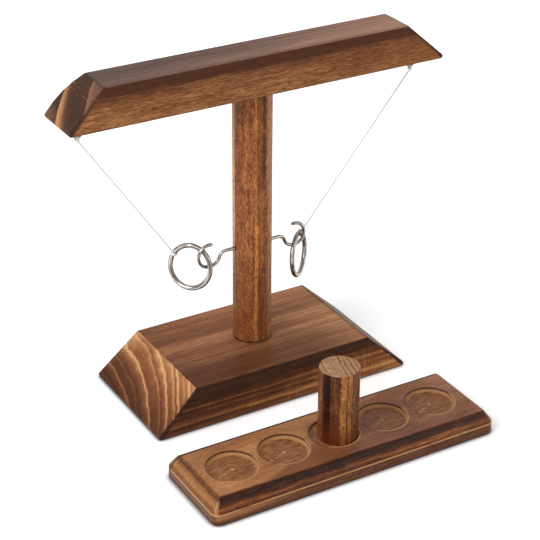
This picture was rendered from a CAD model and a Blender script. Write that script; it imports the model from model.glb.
# Tabletop ring toss game, dressed for its picture. Units are metres and the frame is the packed
# model's: X runs along the beam, the score board lies towards -Y, and Z is up.
import math

import bpy
import numpy as np
from mathutils import Matrix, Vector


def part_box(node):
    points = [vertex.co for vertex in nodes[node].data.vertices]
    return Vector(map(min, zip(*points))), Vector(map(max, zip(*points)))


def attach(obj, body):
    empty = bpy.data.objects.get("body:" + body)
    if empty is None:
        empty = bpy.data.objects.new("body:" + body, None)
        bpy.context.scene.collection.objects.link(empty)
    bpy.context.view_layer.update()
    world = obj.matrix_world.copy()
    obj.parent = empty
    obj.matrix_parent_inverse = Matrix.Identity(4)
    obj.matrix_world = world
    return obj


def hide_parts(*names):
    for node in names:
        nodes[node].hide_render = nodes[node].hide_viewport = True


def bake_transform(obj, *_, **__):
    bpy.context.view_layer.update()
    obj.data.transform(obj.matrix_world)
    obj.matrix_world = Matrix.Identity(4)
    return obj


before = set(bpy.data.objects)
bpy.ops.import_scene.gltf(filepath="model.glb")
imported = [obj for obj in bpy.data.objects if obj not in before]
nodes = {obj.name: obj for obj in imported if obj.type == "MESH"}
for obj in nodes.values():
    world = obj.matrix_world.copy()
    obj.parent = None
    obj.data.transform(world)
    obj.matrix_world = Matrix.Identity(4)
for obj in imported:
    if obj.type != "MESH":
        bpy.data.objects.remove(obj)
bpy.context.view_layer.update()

# Camera
# It looks from the left front and well above, through a long lens, so that the beam rises to the right
# and the score board's near end comes forward. The picture is square, 540 pixels each way.
MM = 0.001
PICTURE = 540
SENSOR = 36.0
FOCAL_PIXELS = 1651.3
AIM = np.array([-0.9, -28.6, 104.0]) * MM
DISTANCE = 1242 * MM
AZIMUTH = math.radians(-30.59)
ELEVATION = math.radians(28.12)
ROLL = math.radians(0.42)


def aimed(place, back, across):
    """The matrix of a camera or lamp at a place, with its back and its own X axis given."""
    made = Matrix.Identity(4)
    for column, axis in enumerate((across, np.cross(back, across), back)):
        for row in range(3):
            made[row][column] = axis[row]
            made[row][3] = place[row]
    return made


level = np.array([math.cos(AZIMUTH), math.sin(AZIMUTH), 0.0])
towards_camera = np.array([
    math.sin(AZIMUTH) * math.cos(ELEVATION),
    -math.cos(AZIMUTH) * math.cos(ELEVATION),
    math.sin(ELEVATION)])
upright = np.cross(towards_camera, level)
camera_data = bpy.data.cameras.new("camera")
camera_data.sensor_width = SENSOR
camera_data.lens = FOCAL_PIXELS * SENSOR / PICTURE
camera = bpy.data.objects.new("camera", camera_data)
bpy.context.scene.collection.objects.link(camera)
camera.matrix_world = aimed(
    AIM + DISTANCE * towards_camera, towards_camera, level * math.cos(ROLL) + upright * math.sin(ROLL))
bpy.context.scene.camera = camera

# Base block
# A solid block of walnut-brown wood, cut with sloping sides and ends. It was charred with a torch and
# brushed before it was stained, so its growth rings stand out light and dark on the cut ends, and its
# mitres and the tops of its long sides stayed almost black.


class Field:
    """A number, place or colour that changes over a surface: one output of a finish's nodes. Sums and
    products of fields add the nodes that work them out."""

    def __init__(self, finish, output):
        self.finish = finish
        self.output = output

    def calc(self, operation, *others):
        made = self.finish.node("ShaderNodeMath", operation=operation)
        for socket, value in zip(made.inputs, (self, *others)):
            self.finish.put(socket, value)
        return Field(self.finish, made.outputs[0])

    def __add__(self, other):
        return self.calc("ADD", other)

    def __sub__(self, other):
        return self.calc("SUBTRACT", other)

    def __rsub__(self, other):
        return self * -1.0 + other

    def __mul__(self, other):
        return self.calc("MULTIPLY", other)

    def __truediv__(self, other):
        return self.calc("DIVIDE", other)

    def __abs__(self):
        return self.calc("ABSOLUTE")

    def about(self, amount):
        """Noise from 0 to 1 turned into a swing of about that amount to either side of 0."""
        return (self - 0.5) * (4.0 * amount)

    def rise(self, low, high):
        """0 up to low and 1 from high, with a smooth step between, or the other way round if low is the
        higher."""
        made = self.finish.node("ShaderNodeMapRange", interpolation_type="SMOOTHSTEP")
        ends = (0.0, 1.0) if low < high else (1.0, 0.0)
        for socket, value in zip(made.inputs, (self, min(low, high), max(low, high), *ends)):
            self.finish.put(socket, value)
        return Field(self.finish, made.outputs[0])


class Finish:
    """A material while it is put together from nodes."""

    def __init__(self, name):
        self.material = bpy.data.materials.new(name)
        self.material.use_nodes = True
        self.tree = self.material.node_tree
        self.shader = self.tree.nodes["Principled BSDF"]

    def node(self, kind, **settings):
        made = self.tree.nodes.new(kind)
        for name, value in settings.items():
            setattr(made, name, value)
        return made

    def put(self, socket, value):
        """Puts a field, a number or a colour into a socket."""
        if isinstance(value, Field):
            self.tree.links.new(value.output, socket)
        elif socket.type == "RGBA":
            socket.default_value = (*value, 1.0)
        else:
            socket.default_value = value

    def give(self, **values):
        """Fills the shader's own sockets: base_color stands for Base Color, and so on."""
        for name, value in values.items():
            self.put(self.shader.inputs[name.replace("_", " ").title().replace("Ior", "IOR")], value)

    def split(self, place):
        made = self.node("ShaderNodeSeparateXYZ")
        self.put(made.inputs[0], place)
        return [Field(self, output) for output in made.outputs]

    def scaled(self, place, scale):
        made = self.node("ShaderNodeMapping")
        self.put(made.inputs["Vector"], place)
        made.inputs["Scale"].default_value = scale
        return Field(self, made.outputs[0])

    def place(self):
        """The place on the piece in millimetres, and its X, Y and Z."""
        whole = Field(self, self.node("ShaderNodeTexCoord").outputs["Object"])
        whole = self.scaled(whole, (1 / MM,) * 3)
        return [whole, *self.split(whole)]

    def noise(self, place, pitch, detail=3.0, rough=0.55):
        """Cloudy noise from 0 to 1 whose clouds are pitch millimetres long in X, Y and Z."""
        made = self.node("ShaderNodeTexNoise")
        self.put(made.inputs["Vector"], self.scaled(place, tuple(1.0 / p for p in pitch)))
        self.put(made.inputs["Scale"], 1.0)
        self.put(made.inputs["Detail"], detail)
        self.put(made.inputs["Roughness"], rough)
        return Field(self, made.outputs[0])

    def waved(self, place, pitch, amount):
        """A place moved to and fro by noise, so that grain laid on it runs in waves."""
        x, y, z = self.split(place)
        wave = self.noise(place, pitch, 2.0).about(amount)
        made = self.node("ShaderNodeCombineXYZ")
        for socket, value in zip(made.inputs, (x, y + wave, z + wave)):
            self.put(socket, value)
        return Field(self, made.outputs[0])

    def shades(self, value, *stops):
        """A colour that changes with a value, through stops of (value, colour)."""
        made = self.node("ShaderNodeValToRGB")
        self.put(made.inputs[0], value)
        ramp = made.color_ramp.elements
        while len(ramp) < len(stops):
            ramp.new(1.0)
        for element, (at, colour) in zip(ramp, stops):
            element.position = at
            element.color = (*colour, 1.0)
        return Field(self, made.outputs[0])

    def levels(self, value, *stops):
        """A number that changes with a value, through stops of (value, number)."""
        return self.shades(value, *[(at, (height, height, height)) for at, height in stops])

    def over(self, amount, under, top):
        """Lays one colour over another by an amount from 0 to 1."""
        made = self.node("ShaderNodeMix", data_type="RGBA")
        for name, value in (("Factor", amount), ("A", under), ("B", top)):
            self.put(made.inputs[name], value)
        return Field(self, made.outputs["Result"])

    def relief(self, height, depth):
        """Turns a height from 0 to 1 into hills and hollows of that depth in metres."""
        made = self.node("ShaderNodeBump")
        self.put(made.inputs["Height"], height)
        self.put(made.inputs["Distance"], depth)
        return Field(self, made.outputs[0])

    def lay_on(self, name):
        """Gives a node of the frame this finish."""
        for slot in nodes[name].material_slots:
            slot.material = self.material


def block_faces(x, y, z, length, top_length, width, top_width, height):
    """For a block with sloping sides, the distances in millimetres to the nearer end, the nearer long
    side and the top, and where the ends and the long sides are: 1 where that face is the nearest. A
    sloping face's distance is measured square to it."""
    def to_slope(across, foot, top):
        reach = math.hypot(height, foot - top)
        return (foot - abs(across)) * (height / reach) - z * ((foot - top) / reach)

    to_end = to_slope(x, length / 2, top_length / 2)
    to_side = to_slope(y, width / 2, top_width / 2)
    to_top = height - z
    on_end = to_end.calc("LESS_THAN", to_side.calc("MINIMUM", to_top))
    on_side = to_side.calc("LESS_THAN", to_end.calc("MINIMUM", to_top))
    return to_end, to_side, to_top, on_end, on_side


BASE_HEIGHT = 34.0
base = Finish("base_walnut")
point, x, y, z = base.place()
to_end, to_side, to_top, on_end, on_side = block_faces(
    x, y, z, length=219.0, top_length=152.0, width=107.0, top_width=99.5, height=BASE_HEIGHT)

# The growth rings are cylinders along X round a pith far below the block's back edge. RINGS gives each
# one's radius in millimetres, and how strongly its late wood stands out
PITH_Y = 55.0
PITH_Z = -168.8
RINGS = [(158.0, 0.4), (166.5, 0.6), (173.5, 0.5), (180.1, 0.85), (185.8, 0.5), (193.4, 1.0),
         (201.3, 0.6), (206.6, 0.9), (211.8, 0.65), (214.9, 0.8), (219.2, 0.45), (223.1, 0.7),
         (228.0, 0.6), (236.0, 0.5)]
INNERMOST = 150.0
OUTERMOST = 240.0


def ring_share(radius):
    """How far a radius lies on the way from the innermost to the outermost one, from 0 to 1."""
    return (radius - INNERMOST) / (OUTERMOST - INNERMOST)


dy = y - PITH_Y
dz = z - PITH_Z
ring_radius = (dy * dy + dz * dz).calc("SQRT")
ring_radius = ring_radius + base.noise(point, (400.0, 26.0, 26.0), 2.0).about(1.3)
ring_radius = ring_radius + base.noise(point, (90.0, 8.0, 8.0), 2.0).about(0.40)
# From one ring to the next the wood grows lighter and then falls back to dark, and a thin light line
# marks the ring itself
slope_stops, line_stops = [(0.0, 0.2)], [(0.0, 0.0)]
for radius, late in RINGS:
    slope_stops += [(ring_share(radius), late), (ring_share(radius + 1.0), 0.06)]
    line_stops += [(ring_share(radius - 1.3), 0.0), (ring_share(radius), late)]
early_to_late = base.levels(ring_share(ring_radius), *slope_stops)
late_lines = base.levels(ring_share(ring_radius), *line_stops, (1.0, 0.0))

fibre = base.noise(point, (55.0, 1.5, 1.5), 3.0, 0.6)
fine = base.noise(point, (17.0, 0.9, 0.9), 3.0, 0.7)
dashes = base.noise(point, (8.0, 1.0, 1.0), 2.0, 0.6).rise(0.54, 0.66)
cloud = base.noise(point, (90.0, 20.0, 20.0), 2.0)
speck = base.noise(point, (0.9, 0.9, 0.9), 2.0)

end_value = (ring_radius - 170.0) / 60.0 * 0.26 + z / BASE_HEIGHT * 0.52
end_value = end_value + early_to_late * 0.52 + late_lines * 0.24
end_value = end_value + y.rise(28.0, 48.0) * z.rise(12.0, 30.0) * 0.16 + speck.about(0.11)
end_value = end_value + base.noise(point, (60.0, 9.0, 9.0), 3.0).about(0.07) - 0.23
ends = base.shades(
    end_value, (0.0, (0.045, 0.014, 0.006)), (0.25, (0.108, 0.035, 0.013)), (0.5, (0.228, 0.081, 0.030)),
    (0.75, (0.48, 0.222, 0.090)), (1.0, (0.73, 0.400, 0.178)))
# Faint scratches cross the ends from the brush
scratches = base.noise(point, (60.0, 14.0, 0.45), 2.0, 0.5).rise(0.60, 0.70)
ends = base.over(scratches * z.rise(10.0, 26.0) * 0.30, ends, (0.62, 0.36, 0.17))
# The right end stayed darker from the torch
ends = base.over(x.rise(0.0, 20.0) * 0.72, ends, (0.055, 0.023, 0.013))

top_value = x / 440.0 + base.noise(point, (420.0, 7.0, 60.0), 2.0).about(0.13) + fibre.about(0.13)
top_value = top_value + fine.about(0.24) + cloud.about(0.05) + late_lines * 0.24 + 0.54 - dashes * 0.13
top = base.shades(
    top_value, (0.0, (0.080, 0.027, 0.011)), (0.35, (0.178, 0.065, 0.027)), (0.55, (0.275, 0.107, 0.048)),
    (0.78, (0.43, 0.192, 0.088)), (1.0, (0.58, 0.31, 0.150)))
# The torch darkened the front of the top too, less towards the right
front_strip = (y + cloud.about(3.0)).rise(-6.0, -28.0) * x.rise(100.0, 20.0)
top = base.over(front_strip * 0.68, top, (0.052, 0.010, 0.002))

# The saw left upright marks across the long sides, and the torch a dark band along their tops
saw_patch = base.noise(point, (40.0, 60.0, 16.0)).rise(0.44, 0.60)
saw_marks = base.noise(point, (1.5, 60.0, 26.0), 2.0).rise(0.45, 0.66) * saw_patch
side_value = x / 600.0 + z * -0.0095 + fibre.about(0.10) + fine.about(0.19) + cloud.about(0.07) + 0.47
side_value = side_value + late_lines * late_lines * 0.52 + saw_marks * 0.15 - dashes * 0.05
sides = base.shades(
    side_value, (0.0, (0.026, 0.009, 0.005)), (0.28, (0.078, 0.026, 0.010)), (0.5, (0.165, 0.057, 0.020)),
    (0.75, (0.36, 0.138, 0.043)), (1.0, (0.58, 0.270, 0.090)))
band_edge = to_top + base.noise(point, (60.0, 40.0, 6.0), 3.0).about(2.4) + x * 0.012
band = base.shades(fibre * 0.5 + fine * 0.5, (0.35, (0.022, 0.009, 0.006)), (0.65, (0.080, 0.033, 0.018)))
sides = base.over(band_edge.rise(12.5, 7.5) * 0.9, sides, band)

colour = base.over(on_end, base.over(on_side, top, sides), ends)
mitre = to_end.calc("MAXIMUM", to_side) + base.noise(point, (9.0, 9.0, 9.0), 2.0).about(0.6)
burnt = mitre.rise(1.3, 0.3).calc("MAXIMUM", (z + fine * 2.0).rise(2.9, 0.9)) * 0.9
right_end = to_end.calc("MAXIMUM", to_top).rise(2.2, 0.6) * x.rise(0.0, 20.0)
scorch = (to_end + to_side + to_top + speck.about(1.0)).rise(6.0, 2.5) * on_side
burnt = burnt.calc("MAXIMUM", right_end * 0.6).calc("MAXIMUM", scorch)
colour = base.over(burnt, colour, (0.022, 0.011, 0.008))
base.give(
    base_color=colour, normal=base.relief(fibre * 0.5 + early_to_late * 0.2 + speck * 0.3, 0.14 * MM),
    roughness=fine * 0.25 + 0.36, specular_ior_level=0.09)
base.lay_on("base_block")

# Post
# A turned 30 mm dowel, glued into the base block and the beam. Its stain took unevenly: the wood is
# mottled orange-brown, with a dark streak to the right of the front and tan sapwood at both sides.

# The side of a dowel that faces the camera, in degrees from +X towards +Y. A stripe that runs the whole
# length of a dowel goes from the first height to the second, and each stripe fades in and out by FADE
FRONT = -120.6
WHOLE = (-20.0, 280.0)
FADE = 14.0


def dowel_wood(name, centre, tones, stripes):
    """A finish for an upright dowel: streaks, blotches and short dark pores along it, and stripes at
    chosen places round it, each as (degrees to the right of the front, half its width in degrees,
    colour, strength, height where it starts, height where it ends)."""
    dowel = Finish(name)
    point, x, y, z = dowel.place()
    streak = dowel.noise(point, (2.2, 2.2, 70.0), 3.0, 0.6)
    blotch = dowel.noise(point, (4.5, 4.5, 9.0), 4.0, 0.72)
    fine = dowel.noise(point, (1.0, 1.0, 2.6), 3.0, 0.68)
    value = streak.about(0.15) + blotch.about(0.24) + fine.about(0.30) + 0.5
    colour = dowel.shades(value, *tones)

    ragged = dowel.noise(point, (12.0, 12.0, 26.0), 3.0).about(3.0) + fine.about(2.2)
    degrees = (y - centre[1]).calc("ARCTAN2", x - centre[0]) * (180.0 / math.pi) + ragged
    patchy = dowel.noise(point, (30.0, 30.0, 16.0), 4.0, 0.7).rise(0.28, 0.50)
    light = value.rise(0.15, 0.85) * 0.9 + 0.55
    for right_of_front, half_width, stripe, depth, foot, head in stripes:
        at = (FRONT + right_of_front + 180.0) % 360.0 - 180.0
        amount = abs(degrees - at).rise(half_width * 1.15, half_width * 0.8) * (patchy * 0.4 + 0.6) * depth
        amount = amount * z.rise(foot - FADE, foot + FADE) * z.rise(head + FADE, head - FADE)
        grained = dowel.node("ShaderNodeVectorMath", operation="SCALE")
        grained.inputs[0].default_value = stripe
        dowel.put(grained.inputs["Scale"], light)
        colour = dowel.over(amount, colour, Field(dowel, grained.outputs[0]))
    pores = dowel.noise(point, (0.95, 0.95, 2.2), 2.0, 0.6).rise(0.57, 0.67)
    colour = dowel.over(pores * 0.72, colour, (0.045, 0.014, 0.006))
    dowel.give(
        normal=dowel.relief(fine * 0.6 + streak * 0.4, 0.14 * MM), roughness=fine * 0.25 + 0.34,
        specular_ior_level=0.12)
    return dowel, colour


post, colour = dowel_wood(
    "post_walnut", (0.0, 0.0),
    tones=[(0.05, (0.070, 0.021, 0.008)), (0.30, (0.185, 0.058, 0.020)), (0.5, (0.325, 0.108, 0.036)),
           (0.70, (0.48, 0.185, 0.062)), (0.95, (0.64, 0.300, 0.110))],
    stripes=[(-45.0, 13.0, (0.150, 0.055, 0.026), 0.35, *WHOLE),
             (14.0, 6.0, (0.62, 0.240, 0.060), 0.85, -20.0, 140.0),
             (12.0, 3.0, (0.52, 0.210, 0.060), 0.65, 150.0, 280.0),
             (23.0, 7.0, (0.150, 0.058, 0.022), 0.55, 160.0, 280.0),
             (38.0, 6.0, (0.050, 0.018, 0.008), 0.85, 172.0, 280.0),
             (27.0, 10.0, (0.120, 0.042, 0.016), 0.6, 30.0, 95.0),
             (66.0, 16.0, (0.47, 0.225, 0.100), 0.85, *WHOLE),
             (-67.0, 14.0, (0.66, 0.330, 0.150), 0.95, 100.0, 232.0)])
point, _, _, z = post.place()
colour = post.over(z.rise(150.0, 40.0) * 0.38, colour, (0.130, 0.040, 0.011))
foot = abs(z - BASE_HEIGHT - 0.4 - post.noise(point, (7.0, 7.0, 7.0)).about(0.4)).rise(1.3, 0.3)
colour = post.over(foot * 0.85, colour, (0.025, 0.011, 0.007))
post.give(base_color=colour)
post.lay_on("post")

# Post screws
# Two countersunk wood screws come up through the base block and hold the post. They are zinc-plated
# and only show from below.
screw_zinc = Finish("screw_zinc")
clouding = screw_zinc.noise(screw_zinc.place()[0], (1.5, 1.5, 1.5))
screw_zinc.give(
    base_color=screw_zinc.shades(clouding, (0.3, (0.40, 0.37, 0.31)), (0.7, (0.60, 0.57, 0.50))),
    metallic=1.0, roughness=clouding * 0.2 + 0.22)
screw_zinc.lay_on("base_screws")

# Beam
# A sloping-sided piece of the same wood, planed and brushed, and let onto the post from above. Its
# growth rings slant through it, so its ends show broad bands, its front fine wavy grain under a
# charred strip, and its top long straight streaks that fade to the right.
beam = Finish("beam_walnut")
beam_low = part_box("beam")[0]
point, x, y, whole_z = beam.place()
z = whole_z - beam_low.z / MM
to_end, to_side, to_top, on_end, on_side = block_faces(
    x, y, z, length=309.0, top_length=250.0, width=44.0, top_width=33.0, height=29.5)
wavy = beam.waved(point, (24.0, 9.0, 6.0), 0.6)
fibre = beam.noise(wavy, (26.0, 1.2, 1.2), 3.0, 0.65)
fine = beam.noise(wavy, (6.0, 0.8, 0.8), 3.0, 0.68)
dashes = beam.noise(wavy, (5.5, 1.0, 1.0), 2.0, 0.6).rise(0.52, 0.64)
cloud = beam.noise(point, (45.0, 16.0, 8.0), 3.0)
speck = beam.noise(point, (0.9, 0.9, 0.9), 2.0)

# On an end the growth rings slant down towards the front. A tan one crosses it, wider towards the foot:
# through_tan is 0 at its back edge and 1 at its front edge
above = z * 0.72 - y * 0.85 + beam.noise(point, (200.0, 9.0, 9.0), 2.0).about(0.5) + speck.about(0.3)
through_tan = above / (z * -0.45 + 14.0)
ends = beam.shades(
    (through_tan + 1.0) / 3.0, (0.0, (0.170, 0.072, 0.036)), (0.22, (0.110, 0.046, 0.025)),
    (0.30, (0.050, 0.022, 0.015)), (0.35, (0.55, 0.270, 0.115)), (0.45, (0.43, 0.203, 0.088)),
    (0.58, (0.145, 0.058, 0.028)), (0.68, (0.075, 0.030, 0.016)), (0.85, (0.054, 0.021, 0.012)),
    (1.0, (0.050, 0.021, 0.013)))
ends = beam.over(above.rise(0.2, -0.8) * z.rise(4.0, 12.0) * 0.8, ends, (0.026, 0.013, 0.010))
in_tan = through_tan.rise(-0.02, 0.05) * through_tan.rise(1.0, 0.5)
ends = beam.over(in_tan * z.rise(8.0, 24.0) * 0.45, ends, (0.165, 0.072, 0.036))
wedge = z - y * 0.85 - 29.8 + speck.about(0.3)
lighter = beam.shades(
    wedge / 14.0, (0.0, (0.250, 0.118, 0.068)), (0.35, (0.150, 0.066, 0.040)),
    (1.0, (0.100, 0.043, 0.028)))
ends = beam.over(wedge.rise(-0.4, 0.6), ends, lighter)
end_streak = beam.noise(point, (60.0, 1.6, 4.5), 3.0, 0.6).about(0.5) + speck.about(0.4)
ends = beam.over(end_streak.rise(0.0, 0.9) * 0.30, ends, (0.33, 0.155, 0.078))
ends = beam.over(end_streak.rise(0.0, -0.9) * 0.40, ends, (0.040, 0.018, 0.012))
scratches = beam.noise(point, (60.0, 10.0, 0.45), 2.0, 0.5).rise(0.60, 0.70) * z.rise(15.0, 24.0)
ends = beam.over(scratches * 0.35, ends, (0.38, 0.21, 0.13))

top_value = x / 430.0 + y.rise(1.0, -2.0) * 0.10 + y.rise(-6.5, -8.0) * y.rise(-14.0, -11.5) * 0.10
top_value = top_value + beam.noise(point, (300.0, 2.2, 30.0), 2.0).about(0.22) + fine.about(0.16)
top_value = top_value + beam.noise(point, (45.0, 1.1, 1.1), 3.0, 0.65).about(0.18)
top_value = top_value + cloud.about(0.06) + 0.42
top = beam.shades(
    top_value - dashes * 0.05, (0.0, (0.050, 0.024, 0.017)), (0.28, (0.110, 0.055, 0.039)),
    (0.52, (0.200, 0.105, 0.074)), (0.76, (0.320, 0.175, 0.115)), (1.0, (0.46, 0.27, 0.170)))
top = beam.over(x.rise(-20.0, -140.0) * 0.30, top, (0.180, 0.118, 0.098))
top = beam.over(x.rise(20.0, 150.0) * 0.35, top, (0.340, 0.165, 0.088))

side_value = z * -0.006 + fibre.about(0.22) + fine.about(0.24) + cloud.about(0.11) + 0.64 - dashes * 0.17
sides = beam.shades(
    side_value, (0.05, (0.055, 0.018, 0.007)), (0.32, (0.135, 0.045, 0.016)),
    (0.52, (0.225, 0.085, 0.031)), (0.74, (0.37, 0.158, 0.060)), (1.0, (0.57, 0.290, 0.115)))
sides = beam.over(x.rise(10.0, 140.0) * 0.42, sides, (0.195, 0.060, 0.017))
band_edge = to_top + beam.noise(point, (42.0, 40.0, 40.0), 2.0).about(1.5) + fibre.about(0.8)
band = beam.shades(fibre * 0.5 + fine * 0.5, (0.3, (0.034, 0.011, 0.006)), (0.7, (0.105, 0.038, 0.019)))
sides = beam.over(band_edge.rise(9.8, 6.6) * 0.97, sides, band)
sides = beam.over((band_edge - x * 0.004).rise(15.0, 9.0) * 0.35, sides, (0.075, 0.025, 0.011))

colour = beam.over(on_end, beam.over(on_side, top, sides), ends)
mitre = to_end.calc("MAXIMUM", to_side) + beam.noise(point, (7.0, 7.0, 7.0), 2.0).about(0.4)
colour = beam.over(mitre.rise(1.6, 0.5) * 0.7, colour, (0.036, 0.016, 0.010))
top_rim = to_end.calc("MAXIMUM", to_top).rise(1.1, 0.3)
colour = beam.over(top_rim * 0.5, colour, (0.045, 0.021, 0.015))
tips = (abs(x) - z).rise(149.0, 154.5) * on_side
colour = beam.over(tips * 0.7, colour, (0.035, 0.016, 0.011))
colour = beam.over((z + fine).rise(1.9, 0.6) * 0.85, colour, (0.030, 0.014, 0.010))
beam.give(
    base_color=colour, normal=beam.relief(fibre * 0.6 + speck * 0.4, 0.15 * MM),
    roughness=fine * 0.25 + 0.36, specular_ior_level=0.10)
beam.lay_on("beam")

# Hooks
# Two screw hooks of nickel-plated steel wire, bright but not mirror-smooth. Each is screwed level into
# the post's side, turns down round a small bend, and ends in a wide open curl.
HOOK_WIRE = 2.8 * MM
POST_RADIUS = 15.0 * MM
HOOK_HEIGHT = 113.5 * MM
HOOK_DEPTH = 11.0 * MM
HOOK_NECK = 8.5 * MM
BEND_RADIUS = 5.0 * MM
BEND_END = math.radians(16.0)
CURL_RADIUS = 9.2 * MM
CURL_END = math.radians(465.0)
TIP_POINTS = 8
# The hooks, eyes, rings and strings come in pairs, and this is the way along X that each side's looks
SIDES = {"left": -1.0, "right": 1.0}
TO_BACK = np.array([0.0, 1.0, 0.0])
DOWN = np.array([0.0, 0.0, -1.0])


def unit(vectors):
    """Vectors divided by their own lengths."""
    return vectors / np.linalg.norm(vectors, axis=-1, keepdims=True)


def swept_tube(path, outward, radius, sides=24, closed=False):
    """A round tube along a path. At each point of the path t is the direction of travel, u is outward
    with its share along t taken off, and v = t x u; the circle is path + radius (u cos a + v sin a),
    for a once round. Outward is one direction, or one for each point. Returns the grid of points and
    the distance travelled at each one."""
    if closed:
        travel = np.roll(path, -1, axis=0) - np.roll(path, 1, axis=0)
    else:
        travel = np.gradient(path, axis=0)
    t = unit(travel)
    u = unit(outward - np.sum(outward * t, axis=1, keepdims=True) * t)
    v = np.cross(t, u)
    a = np.linspace(0.0, 2 * np.pi, sides, endpoint=False)[None, :, None]
    radius = np.broadcast_to(radius, (len(path), sides))[..., None]
    points = path[:, None] + radius * (np.cos(a) * u[:, None] + np.sin(a) * v[:, None])
    steps = np.linalg.norm(np.diff(path, axis=0, append=path[:1] if closed else path[-1:]), axis=1)
    return points, np.concatenate([[0.0], np.cumsum(steps)])


def tube_piece(name, body, finish, stands_for, tubes, closed=False):
    """One piece from tubes. Faces join each point to its neighbours round the circle and along the
    path, flat caps close the ends of an open tube, and the UV map holds the share of the way round and
    the millimetres travelled."""
    points, faces, uvs, start = [], [], [], 0
    for grid, travelled in tubes:
        rows, sides = grid.shape[:2]
        i, j = np.meshgrid(np.arange(rows if closed else rows - 1), np.arange(sides), indexing="ij")
        after, beside = (i + 1) % rows, (j + 1) % sides
        quads = np.stack([
            i * sides + j, i * sides + beside, after * sides + beside, after * sides + j], -1)
        faces += (start + quads.reshape(-1, 4)).tolist()
        around = np.stack([j, j + 1, j + 1, j], -1) / sides
        along = np.stack([travelled[i], travelled[i], travelled[i + 1], travelled[i + 1]], -1) / MM
        uvs.append(np.stack([around, along], -1).reshape(-1, 2))
        if not closed:
            faces.append((start + np.arange(sides)[::-1]).tolist())
            faces.append((start + (rows - 1) * sides + np.arange(sides)).tolist())
            uvs.append(np.tile([0.0, 0.0], (sides, 1)))
            uvs.append(np.tile([0.0, travelled[rows - 1] / MM], (sides, 1)))
        points.append(grid.reshape(-1, 3))
        start += rows * sides
    mesh = bpy.data.meshes.new(name)
    mesh.from_pydata(np.concatenate(points).tolist(), [], faces)
    mesh.uv_layers.new(name="around_along").data.foreach_set("uv", np.concatenate(uvs).ravel())
    mesh.polygons.foreach_set("use_smooth", [len(face) == 4 for face in faces])
    mesh.materials.append(finish.material)
    mesh.update()
    made = bpy.data.objects.new(name, mesh)
    bpy.context.scene.collection.objects.link(made)
    if body:
        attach(made, body)
    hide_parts(stands_for)
    return made


def arc(centre, radius, start, end, count):
    """Points of an arc in the XZ plane, with angles counted from +X towards +Z."""
    a = np.linspace(start, end, count)
    return centre + radius * np.stack([np.cos(a), np.zeros(count), np.sin(a)], -1)


# The wire was drawn and then plated, which left fine bright and dull lines along it
nickel = Finish("nickel_plate")
drawn = Field(nickel, nickel.node("ShaderNodeUVMap", uv_map="around_along").outputs[0])
marks = nickel.noise(nickel.scaled(drawn, (7.0, 0.035, 1.0)), (1.0, 1.0, 1.0), 2.0, 0.6)
lines = nickel.noise(nickel.scaled(drawn, (30.0, 0.08, 1.0)), (1.0, 1.0, 1.0), 2.0)
value = marks.about(0.46) + lines.about(0.16) + 0.46
value = value + nickel.noise(nickel.place()[0], (6.0, 6.0, 6.0)).about(0.10)
nickel.give(
    base_color=nickel.shades(
        value, (0.08, (0.075, 0.060, 0.050)), (0.36, (0.22, 0.190, 0.165)), (0.62, (0.46, 0.430, 0.395)),
        (0.95, (0.90, 0.885, 0.86))),
    metallic=1.0, roughness=lines * 0.16 + 0.10,
    normal=nickel.relief(marks * 0.5 + lines * 0.5, 0.02 * MM))

neck_end = np.array([POST_RADIUS + HOOK_NECK, 0.0, HOOK_HEIGHT])
bend_centre = neck_end + BEND_RADIUS * DOWN
to_curl = np.array([math.cos(BEND_END), 0.0, math.sin(BEND_END)])
curl_centre = bend_centre + (BEND_RADIUS + CURL_RADIUS) * to_curl
hook_line = np.concatenate([
    np.linspace([POST_RADIUS - HOOK_DEPTH, 0.0, HOOK_HEIGHT], neck_end, 24),
    arc(bend_centre, BEND_RADIUS, math.pi / 2, BEND_END, 28)[1:],
    arc(curl_centre, CURL_RADIUS, math.pi + BEND_END, CURL_END, 150)[1:]])
# The cut end of the wire is rounded off
girth = np.full(len(hook_line), HOOK_WIRE / 2)
girth[-TIP_POINTS:] *= np.sqrt(1.0 - 0.35 * np.linspace(0.0, 1.0, TIP_POINTS) ** 3)
for side, outward in SIDES.items():
    tube_piece(
        side + "_wire_hook", "stand", nickel, side + "_hook",
        [swept_tube(hook_line * [outward, 1.0, 1.0], TO_BACK, girth[:, None], 32)])

# Screw eyes
# Two small screw eyes of the same plated wire, turned up into the beam's underside near its ends. The
# strings are tied to them.
EYE_WIRE = 1.6 * MM
EYE_RADIUS = 3.2 * MM
LOOP_START = math.radians(90.0)
LOOP_END = math.radians(430.0)
for side in SIDES:
    low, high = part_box(side + "_eye")
    centre = np.array([(low.x + high.x) / 2, 0.0, low.z + EYE_RADIUS + EYE_WIRE / 2])
    loop = arc(centre, EYE_RADIUS, LOOP_START, LOOP_END, 90)
    shank = np.linspace([centre[0], 0.0, high.z], [centre[0], 0.0, centre[2] + EYE_RADIUS], 16)
    tube_piece(side + "_screw_eye", "stand", nickel, side + "_eye", [
        swept_tube(loop, loop - centre, EYE_WIRE / 2, 20),
        swept_tube(shank, TO_BACK, EYE_WIRE / 2, 20)])

# Rings
# Two closed, welded rings of thicker plated wire. Each is parked on its hook, turned from the beam's
# line and leaning forward, and carries its string's knot.
RING_WIRE = 4.0 * MM
RING_RADIUS = 16.6 * MM
# Degrees from the beam's line, degrees that the top leans forward, and the knot's degrees from the top
RING_POSE = {"left": (53.3, 12.2, 60.5), "right": (42.0, 3.2, 29.5)}


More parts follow.
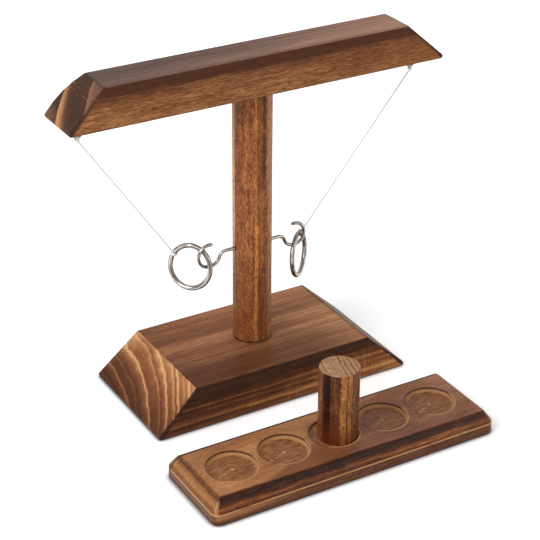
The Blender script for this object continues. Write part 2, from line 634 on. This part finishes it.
def ring_axes(side):
    """A ring's centre, its level axis, its upward axis and the axis through its hole."""
    low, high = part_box(side + "_ring")
    turn, lean = [math.radians(angle) for angle in RING_POSE[side][:2]]
    mirror = np.array([SIDES[side], 1.0, 1.0])
    level_axis = mirror * [math.cos(turn), math.sin(turn), 0.0]
    top_axis = mirror * [-math.sin(turn) * math.sin(lean), math.cos(turn) * math.sin(lean), math.cos(lean)]
    return (np.array(low) + np.array(high)) / 2, level_axis, top_axis, np.cross(level_axis, top_axis)


for side in SIDES:
    centre, level_axis, top_axis, _ = ring_axes(side)
    a = np.linspace(0.0, 2 * np.pi, 200, endpoint=False)[:, None]
    spokes = np.sin(a) * level_axis + np.cos(a) * top_axis
    tube_piece(
        side + "_steel_ring", side + "_ring", nickel, side + "_ring",
        [swept_tube(centre + RING_RADIUS * spokes, spokes, RING_WIRE / 2, 40, closed=True)], closed=True)

# Strings
# Each ring hangs on a thin white string of three twisted strands, tied to the screw eye above it. With
# the rings parked on their hooks both strings are drawn straight.
STRING = 1.1 * MM
TWIST = 3.2 * MM
STRANDS = 3
LINE_POINTS = 240
# Each one's centre line, from the knot at its screw eye to the knot at its ring
ROUTES = {
    "left": np.array([
        [-138.8, 0.2, 227.7], [-133.5, 1.6, 220.1], [-128.1, 3.0, 212.5], [-122.8, 4.4, 204.9],
        [-117.5, 5.8, 197.3], [-112.1, 7.2, 189.8], [-106.8, 8.6, 182.2], [-101.5, 10.0, 174.6],
        [-96.1, 11.4, 167.0], [-90.8, 12.8, 159.4], [-85.4, 14.2, 151.8], [-80.1, 15.6, 144.2],
        [-74.8, 16.9, 136.7], [-69.4, 18.3, 129.1], [-64.1, 19.7, 121.5], [-58.8, 21.1, 113.9]]) * MM,
    "right": np.array([
        [138.8, 0.0, 227.7], [132.8, 0.4, 220.0], [126.9, 0.8, 212.3], [121.0, 1.1, 204.7],
        [115.0, 1.5, 197.0], [109.1, 1.8, 189.3], [103.2, 2.2, 181.6], [97.2, 2.6, 174.0],
        [91.3, 2.9, 166.3], [85.4, 3.3, 158.6], [79.4, 3.6, 150.9], [73.5, 4.0, 143.2],
        [67.5, 4.4, 135.6], [61.6, 4.7, 127.9], [55.7, 5.1, 120.2], [49.7, 5.4, 112.5]]) * MM}

thread = Finish("white_thread")
wound = Field(thread, thread.node("ShaderNodeUVMap", uv_map="around_along").outputs[0])
around, along, _ = thread.split(wound)
strand = abs(((around + along * (MM / TWIST)) * (STRANDS * math.pi)).calc("SINE"))
fuzz = thread.noise(thread.scaled(wound, (14.0, 2.2, 1.0)), (1.0, 1.0, 1.0), 3.0)
thread.give(
    base_color=thread.shades(
        strand * 0.7 + fuzz * 0.3, (0.1, (0.62, 0.60, 0.57)), (0.5, (0.95, 0.94, 0.92))),
    normal=thread.relief(strand * 0.8 + fuzz * 0.2, 0.12 * MM), roughness=0.75, sheen_weight=0.2)


def evenly(route, count):
    """Points at even distances along a route of straight steps."""
    reached = np.concatenate([[0.0], np.cumsum(np.linalg.norm(np.diff(route, axis=0), axis=1))])
    at = np.linspace(0.0, reached[-1], count)
    return np.stack([np.interp(at, reached, route[:, k]) for k in range(3)], -1)


strings, string_lines = {}, {}
for side, route in ROUTES.items():
    line = evenly(route, LINE_POINTS)
    turns = np.linspace(0.0, np.linalg.norm(route[-1] - route[0]) / TWIST, LINE_POINTS)[:, None]
    a = np.linspace(0.0, 1.0, 24, endpoint=False)[None]
    lobes = np.abs(np.sin(STRANDS * np.pi * (a + turns)))
    string_lines[side] = line
    strings[side] = tube_piece(
        side + "_twisted_string", None, thread, side + "_string",
        [swept_tube(line, TO_BACK, STRING / 2 * (0.86 + 0.14 * lobes))])

# String knots
# The string goes round the ring's wire, and once through the screw eye, and is tied off in a small
# hard knot against the wire. A closed three-lobed overhand knot stands for each knot's lump.
BITE = 0.15 * MM
KNOT = 3.0 * MM
TAIL = 3.0 * MM
RING_TURNS = 3.0
EYE_TURNS = 2.5
TO_RIGHT = np.array([1.0, 0.0, 0.0])
# The lowest place on the centre line of the right screw eye's wire, and the number of the point from
# which a string rides its ring
EYE_FOOT = np.array([139.5, 0.0, 230.8]) * MM
RIDES_FROM = 214


def coil(centre_line, spokes, axis, turns, first, radius):
    """A coil round a wire: at share s of the way it stands radius from the wire's centre line, in the
    direction spokes cos w + axis sin w, with w = first + 2 pi turns s."""
    w = (first + 2 * np.pi * turns * np.linspace(0.0, 1.0, len(centre_line)))[:, None]
    out = spokes * np.cos(w) + axis * np.sin(w)
    return swept_tube(centre_line + radius * out, out, STRING / 2, 16)


def lump(centre, facing):
    """A trefoil knot, x = sin t + 2 sin 2t, y = cos t - 2 cos 2t, z = -1.3 sin 3t, drawn tight to the
    size KNOT and laid across the direction that it faces."""
    t = np.linspace(0.0, 2 * np.pi, 121)
    flat = np.stack([
        np.sin(t) + 2 * np.sin(2 * t), np.cos(t) - 2 * np.cos(2 * t), -1.3 * np.sin(3 * t)], -1)
    side_on = unit(np.cross(facing, [0.13, 0.99, 0.05]))
    axes = np.stack([side_on, np.cross(facing, side_on), facing])
    path = centre + flat / 3.0 * (KNOT - STRING) / 2 @ axes
    return swept_tube(path, path - centre, STRING / 2, 16)


for side, outward in SIDES.items():
    foot = EYE_FOOT * [outward, 1.0, 1.0]
    centre, level_axis, top_axis, through = ring_axes(side)
    knot_angle = math.radians(RING_POSE[side][2])
    spoke = math.sin(knot_angle) * level_axis + math.cos(knot_angle) * top_axis
    wire_point = centre + RING_RADIUS * spoke
    pull = unit(foot - wire_point)
    angles = np.linspace(-1.0, 1.0, 120)[:, None] * STRING / RING_RADIUS + knot_angle
    spokes = np.sin(angles) * level_axis + np.cos(angles) * top_axis
    facing_angle = math.atan2(pull @ through, pull @ spoke)
    tube_piece(side + "_ring_tie", side + "_ring", thread, side + "_ring_knot", [
        coil(centre + RING_RADIUS * spokes, spokes, through, RING_TURNS, facing_angle,
             (RING_WIRE + STRING) / 2 - BITE),
        lump(wire_point + (RING_WIRE / 2 + KNOT / 2 - BITE) * pull, pull)])

    slide = np.linspace(-1.3, 1.3, 90)[:, None] * STRING * TO_RIGHT
    under = foot + (EYE_WIRE / 2 + KNOT / 2 - BITE) * DOWN
    s = np.linspace(0.0, 1.0, 24)[:, None]
    tail = under + TAIL * (s * unit(np.array([outward * 0.35, 0.9, 0.1])) + 0.3 * s**2 * DOWN)
    tube_piece(side + "_eye_tie", "stand", thread, side + "_eye_knot", [
        coil(foot + slide, DOWN, TO_BACK, EYE_TURNS, -0.4, (EYE_WIRE + STRING) / 2 - BITE),
        lump(under, -pull),
        swept_tube(tail, np.array([0.0, 1.0, 0.3]), STRING / 2 * 0.8, 12)])

    line = string_lines[side]
    side + "_eye_tie"
    side + "_ring_tie"
    # The string's last stretch follows the ring as it swings on its hook. It is taken on a slant, so that
    # the string keeps its thickness where the swing carries it round
    start = line[RIDES_FROM]
    last_stretch = line[-1] - start
    slant = unit(unit(last_stretch) + unit(np.cross(last_stretch, outward * TO_BACK)))
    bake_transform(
        strings[side], "stand", side + "_ring", start=start, end=start + (last_stretch @ slant) * slant)

# Score board
# A separate board with a moulded edge, drilled with five shallow recesses by a large flat bit, which
# left a rim line, fine rings and a centre mark in each. It was stained, lacquered smooth, and rubbed
# through to a golden line along its nosing.
BOARD_TOP = 18.0
NOSING = 8.8
RECESS_FLOOR = 15.0
RECESS_RADIUS = 18.6
RECESS_PITCH = 42.6
board_low, board_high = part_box("ladder_board")
board_centre = (board_low + board_high) / 2 / MM
board_size = (board_high - board_low) / MM

board = Finish("board_walnut")
point, x, y, z = board.place()
right_of_middle = x - board_centre.x
behind_middle = y - board_centre.y
fibre = board.noise(point, (45.0, 1.8, 1.8), 3.0, 0.6)
fine = board.noise(point, (9.0, 0.8, 0.8), 3.0, 0.65)
cloud = board.noise(point, (40.0, 14.0, 14.0), 3.0)
mottle = board.noise(point, (6.0, 3.0, 3.0), 4.0, 0.7)
speck = board.noise(point, (0.9, 0.9, 0.9), 2.0)
pores = board.noise(point, (6.0, 0.9, 0.9), 2.0, 0.6).rise(0.55, 0.67)

# The face is tan to the left and darker and redder to the right of a slanting line of the grain
value = fibre.about(0.12) + fine.about(0.17) + cloud.about(0.20) + mottle.about(0.12) + 0.5 - pores * 0.09
tan_face = board.shades(
    value, (0.05, (0.170, 0.062, 0.022)), (0.35, (0.300, 0.120, 0.044)), (0.6, (0.42, 0.182, 0.070)),
    (0.95, (0.60, 0.31, 0.130)))
brown_face = board.shades(
    value + behind_middle * 0.0045 + right_of_middle.rise(80.0, 112.0) * 0.14 + 0.06,
    (0.05, (0.080, 0.026, 0.012)), (0.35, (0.155, 0.054, 0.026)),
    (0.6, (0.250, 0.096, 0.050)), (0.95, (0.39, 0.175, 0.098)))
divide = right_of_middle + behind_middle * -2.2 + cloud.about(14.0)
brown_face = board.over(divide.rise(75.0, 15.0) * 0.6, brown_face, (0.225, 0.078, 0.022))
colour = board.over(divide.rise(-16.0, -3.0), tan_face, brown_face)

# How far a place is from the middle of the nearest of the five recesses
number = (right_of_middle / RECESS_PITCH).calc("ROUND").calc("MAXIMUM", -2.0).calc("MINIMUM", 2.0)
beside = right_of_middle - number * RECESS_PITCH
from_middle = (beside * beside + behind_middle * behind_middle).calc("SQRT")
in_recess = from_middle.calc("LESS_THAN", RECESS_RADIUS + 0.1) * z.calc("LESS_THAN", BOARD_TOP - 0.2)
tool_rings = board.noise(point, (30.0, 30.0, 30.0)).about(0.3) + (from_middle * 4.6).calc("SINE")
floor_value = fibre.about(0.10) + mottle.about(0.22) + fine.about(0.14)
floor_value = floor_value + speck.about(0.10) + tool_rings * 0.05
right_half = right_of_middle.rise(-20.0, 60.0)
floor_face = board.shades(
    floor_value * 1.25 - right_half * 0.05 + 0.47, (0.05, (0.095, 0.033, 0.012)),
    (0.35, (0.200, 0.076, 0.028)), (0.6, (0.330, 0.135, 0.050)), (0.95, (0.57, 0.290, 0.115)))
floor_face = board.over(right_half * 0.18, floor_face, (0.175, 0.060, 0.028))
rim_light = (from_middle + mottle.about(0.9)).rise(15.8, 17.9)
floor_face = board.over(rim_light * 0.6, floor_face, (0.56, 0.300, 0.130))
# The bit's point left a bright ragged mark, and its last turn a scratch out towards the near side
centre_mark = (from_middle + speck.about(0.3)).rise(1.7, 0.7)
scratch = abs(beside * 0.38 - behind_middle * 0.92 + mottle.about(1.6)).rise(0.9, 0.2)
scratch = scratch * (beside * -0.92 - behind_middle * 0.38).rise(0.5, 3.0) * mottle.rise(0.42, 0.56)
floor_face = board.over(centre_mark.calc("MAXIMUM", scratch * 0.6) * 0.85, floor_face, (0.66, 0.40, 0.185))
floor_face = board.over(from_middle.rise(0.8, 0.3) * 0.6, floor_face, (0.120, 0.045, 0.020))
# The wall of a recess is dark at the rim and lighter below
on_wall = from_middle.rise(RECESS_RADIUS - 0.5, RECESS_RADIUS - 0.2)
dark_wall = on_wall * z.rise(RECESS_FLOOR + 1.8, RECESS_FLOOR + 2.3)
light_wall = on_wall * z.rise(RECESS_FLOOR + 1.9, RECESS_FLOOR + 1.2) * 0.5
floor_face = board.over(dark_wall, floor_face, (0.055, 0.021, 0.009))
floor_face = board.over(light_wall, floor_face, (0.66, 0.40, 0.20))
colour = board.over(in_recess, colour, floor_face)
rim = abs(from_middle - RECESS_RADIUS - 0.3).rise(1.0, 0.3) * z.calc("GREATER_THAN", BOARD_TOP - 0.3)
lit_rim = (behind_middle - beside * 0.5).rise(-4.0, -10.0)
colour = board.over(rim * 0.75, colour, board.over(lit_rim, (0.070, 0.026, 0.011), (0.52, 0.270, 0.120)))

# The moulding: a dark slope streaked with gold, a golden nosing, and a darker upright side. The dark
# strip along the slope is wider at the left, and narrower and browner at the right
from_end = board_size.x / 2 - abs(right_of_middle)
from_side = board_size.y / 2 - abs(behind_middle)
from_edge = from_end.calc("MINIMUM", from_side)
at_end = (from_side - from_end).rise(-0.6, 0.6)
to_left = right_of_middle.rise(-40.0, -105.0)
to_right = right_of_middle.rise(0.0, 90.0)
ragged = from_edge + board.noise(point, (30.0, 30.0, 12.0), 4.0, 0.65).about(0.5)
slope = (ragged - to_left * 1.2 + to_right * 0.8).rise(8.6, 6.6)
streaks = board.noise(point, (26.0, 1.5, 1.3), 4.0, 0.7).about(0.20) + fine.about(0.22) + speck.about(0.08)
streaks = streaks + board.noise(point, (14.0, 8.0, 6.0), 3.0).about(0.07)
# Across the front slope the wood goes from nearly black at the top to orange, and across the ends from
# a dark line to golden brown
SLOPE_WIDTH = 7.0
down_front = board.levels(
    ragged / SLOPE_WIDTH,
    (0.0, 0.28), (0.14, 0.38), (0.26, 0.54), (0.38, 0.29), (0.50, 0.07), (0.66, 0.0), (1.0, 0.05))
down_end = board.levels(
    ragged / SLOPE_WIDTH,
    (0.0, 0.36), (0.20, 0.40), (0.34, 0.62), (0.55, 0.55), (0.72, 0.42), (0.88, 0.16), (1.0, 0.30))
slope_value = streaks * (1.0 - at_end * 0.35) + board.over(at_end, down_front, down_end)
slope_value = slope_value + to_left * 0.06 + to_right * 0.10
dark_slope = board.shades(
    slope_value, (0.0, (0.019, 0.005, 0.0016)), (0.30, (0.078, 0.021, 0.006)),
    (0.55, (0.200, 0.062, 0.017)), (0.95, (0.54, 0.220, 0.062)))
tan_slope = board.shades(
    slope_value, (0.0, (0.035, 0.012, 0.005)), (0.30, (0.135, 0.047, 0.016)),
    (0.55, (0.290, 0.112, 0.037)), (0.95, (0.58, 0.290, 0.105)))
moulding = board.over(at_end, dark_slope, tan_slope)
upright_face = board.shades(
    streaks + 0.46, (0.0, (0.028, 0.009, 0.004)), (0.4, (0.098, 0.031, 0.013)),
    (0.7, (0.190, 0.066, 0.027)), (1.0, (0.37, 0.165, 0.068)))
lit_left = to_left * (1.0 - at_end * 0.5) * z.rise(2.5, 6.5) * 0.75
upright_face = board.over(lit_left, upright_face, (0.42, 0.190, 0.070))
moulding = board.over(z.rise(NOSING - 0.1, NOSING - 1.3), moulding, upright_face)
under_nosing = abs(z - NOSING + 2.4).rise(0.9, 0.3) * at_end
moulding = board.over(under_nosing * 0.7, moulding, (0.040, 0.017, 0.010))
gold = abs(z - NOSING).rise(0.95, 0.2) * board.noise(point, (26.0, 26.0, 9.0), 3.0).rise(0.26, 0.48)
moulding = board.over(gold * 0.85, moulding, (0.62, 0.310, 0.125))
colour = board.over(slope.calc("MAXIMUM", z.rise(14.0, 12.0)) * (1.0 - in_recess), colour, moulding)
corner = abs(abs(from_end - from_side) - 0.9).rise(0.8, 0.2)
corner = corner * from_edge.rise(6.6, 4.6) * z.rise(NOSING - 2.0, NOSING)
colour = board.over(corner * 0.6, colour, (0.56, 0.31, 0.135))
edge_light = abs(z - 16.4).rise(1.2, 0.2) * right_of_middle.rise(90.0, 112.0) * at_end
colour = board.over(edge_light * 0.5, colour, (0.50, 0.27, 0.160))
far_edge = abs(from_side - 7.4).rise(1.3, 0.3) * behind_middle.rise(0.0, 4.0)
foot = (z + fine * 1.6).rise(2.8, 1.2)
colour = board.over(foot.calc("MAXIMUM", far_edge) * 0.85, colour, (0.026, 0.012, 0.008))
hills = fibre * 0.4 + mottle * 0.3 + tool_rings * in_recess * 0.12
board.give(
    base_color=colour, normal=board.relief(hills, 0.14 * MM), roughness=fine * 0.2 + 0.26,
    specular_ior_level=0.14)
board.lay_on("ladder_board")

# Peg
# A short length of the same 30 mm dowel, sawn square. It marks the score and stands loose in a recess,
# to be lifted out and moved along by hand.
peg_low, peg_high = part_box("peg")
peg_middle = (peg_low + peg_high) / 2 / MM
peg_top = peg_high.z / MM
peg, colour = dowel_wood(
    "peg_walnut", (peg_middle.x, peg_middle.y),
    tones=[(0.05, (0.036, 0.012, 0.005)), (0.30, (0.100, 0.033, 0.012)), (0.5, (0.175, 0.061, 0.022)),
           (0.70, (0.30, 0.115, 0.041)), (0.95, (0.50, 0.225, 0.085))],
    stripes=[(-38.0, 14.0, (0.032, 0.0055, 0.002), 1.0, *WHOLE),
             (-37.0, 9.0, (0.016, 0.0028, 0.001), 0.9, *WHOLE),
             (-12.0, 13.0, (0.088, 0.022, 0.009), 0.9, *WHOLE),
             (-14.0, 2.5, (0.210, 0.080, 0.030), 0.6, 45.0, WHOLE[1]),
             (12.0, 8.0, (0.43, 0.170, 0.046), 0.95, *WHOLE),
             (30.0, 6.5, (0.40, 0.160, 0.046), 0.9, *WHOLE),
             (21.0, 1.6, (0.090, 0.030, 0.011), 0.8, *WHOLE),
             (39.0, 1.8, (0.090, 0.030, 0.012), 0.8, *WHOLE),
             (51.0, 9.0, (0.180, 0.073, 0.037), 0.7, *WHOLE)])
point, x, y, z = peg.place()
# Lower down its stain is redder, and its top shows end grain with a few dark slanting lines
low_down = z.rise(peg_top - 30.0, peg_low.z / MM)
colour = peg.over(low_down * 0.52, colour, (0.165, 0.036, 0.008))
wander = peg.noise(point, (9.0, 9.0, 9.0), 2.0).about(1.1)
slant = (x - peg_middle.x) * 0.964 - (y - peg_middle.y) * 0.265 + wander
end_value = peg.noise(point, (4.0, 4.0, 4.0), 4.0, 0.7).about(0.20) + 0.60
END_LINES = [(-11.2, 0.8, 0.55), (-9.6, 0.6, -0.35), (-4.8, 0.5, 0.35), (-2.0, 0.5, 0.30),
             (1.8, 0.9, 0.75), (4.9, 0.8, 0.60), (8.6, 0.9, 0.80), (12.4, 0.8, 0.60)]
for at, thickness, depth in END_LINES:
    line = abs(slant - at).rise(thickness, thickness * 0.3)
    end_value = end_value - line * depth * 0.42
end_pores = peg.noise(point, (1.0, 1.0, 1.0), 2.0).rise(0.58, 0.70)
end_grain = peg.shades(
    end_value - end_pores * 0.22, (0.05, (0.085, 0.034, 0.017)), (0.35, (0.240, 0.110, 0.053)),
    (0.6, (0.43, 0.225, 0.115)), (0.95, (0.66, 0.39, 0.215)))
colour = peg.over(z.rise(peg_top - 0.5, peg_top - 0.1), colour, end_grain)
peg.give(base_color=colour)
peg.lay_on("peg")

# Floor and light
# A plain white floor under soft light: one large lamp high on the left, a weak one on the right front,
# and an even white sky. To the camera and in the metal the floor glows white, except close to what
# stands on it, so that each foot keeps its narrow shadow.
FLOOR_REACH = 7.0
SHADOW_REACH = 5.0 * MM
SKY_LIGHT = 0.56
floor_mesh = bpy.data.meshes.new("floor")
corners = [(FLOOR_REACH * x, FLOOR_REACH * y, 0.0) for x, y in ((-1, -1), (1, -1), (1, 1), (-1, 1))]
floor_mesh.from_pydata(corners, [], [(0, 1, 2, 3)])
floor = bpy.data.objects.new("floor", floor_mesh)
bpy.context.scene.collection.objects.link(floor)
paper = Finish("floor_white")
paper.give(roughness=0.9, specular_ior_level=0.0)
# The glow is weaker under and round the game, where the floor lies in its soft shadow
_, x, y, _ = paper.place()
ahead = y + 60.0
far_away = (x * x + ahead * ahead).calc("SQRT").rise(155.0, 250.0)
seen = paper.node("ShaderNodeLightPath")
bare = Field(paper, seen.outputs["Is Camera Ray"])
for ray in ("Is Glossy Ray", "Is Transmission Ray"):
    bare = bare.calc("MAXIMUM", Field(paper, seen.outputs[ray]))
nearness = paper.node("ShaderNodeAmbientOcclusion", samples=16)
nearness.inputs["Distance"].default_value = SHADOW_REACH
open_floor = Field(paper, nearness.outputs["AO"]).rise(0.35, 1.0)
glow = paper.node("ShaderNodeEmission")
to_camera = paper.over(open_floor, (0.35, 0.34, 0.35), (1.0, 1.0, 1.0))
paper.give(base_color=paper.over(bare, (0.86, 0.86, 0.86), to_camera))
paper.put(glow.inputs["Strength"], bare * (far_away * 0.22 + 0.28) * open_floor)
both = paper.node("ShaderNodeAddShader")
paper.put(both.inputs[0], Field(paper, paper.shader.outputs[0]))
paper.put(both.inputs[1], Field(paper, glow.outputs[0]))
paper.put(paper.tree.nodes["Material Output"].inputs["Surface"], Field(paper, both.outputs[0]))
floor_mesh.materials.append(paper.material)

# The sky is white to the camera and in the metal, and lights the game about half as strongly
world = bpy.data.worlds.new("sky")
bpy.context.scene.world = world
world.use_nodes = True
sky = world.node_tree
background = sky.nodes["Background"]
rays = sky.nodes.new("ShaderNodeLightPath")
direct = sky.nodes.new("ShaderNodeMath")
direct.operation = "MAXIMUM"
sky.links.new(rays.outputs["Is Camera Ray"], direct.inputs[0])
sky.links.new(rays.outputs["Is Glossy Ray"], direct.inputs[1])
strength = sky.nodes.new("ShaderNodeMapRange")
strength.inputs["To Min"].default_value = SKY_LIGHT
strength.inputs["To Max"].default_value = 1.0
sky.links.new(direct.outputs[0], strength.inputs["Value"])
sky.links.new(strength.outputs[0], background.inputs["Strength"])
background.inputs["Color"].default_value = (1.0, 1.0, 1.0, 1.0)


def lamp(name, place, size, power):
    """A square area lamp that faces the post."""
    data = bpy.data.lights.new(name, "AREA")
    data.size = size
    data.energy = power
    made = bpy.data.objects.new(name, data)
    bpy.context.scene.collection.objects.link(made)
    away = unit(np.array(place) - np.array([0.0, -0.04, 0.12]))
    made.matrix_world = aimed(place, away, unit(np.cross([0.0, 0.0, 1.0], away)))


lamp("key", (-1.4, -0.45, 1.25), 0.9, 19.0)
lamp("fill", (1.1, -1.3, 0.9), 0.9, 3.5)

bpy.context.scene.view_settings.view_transform = "Standard"
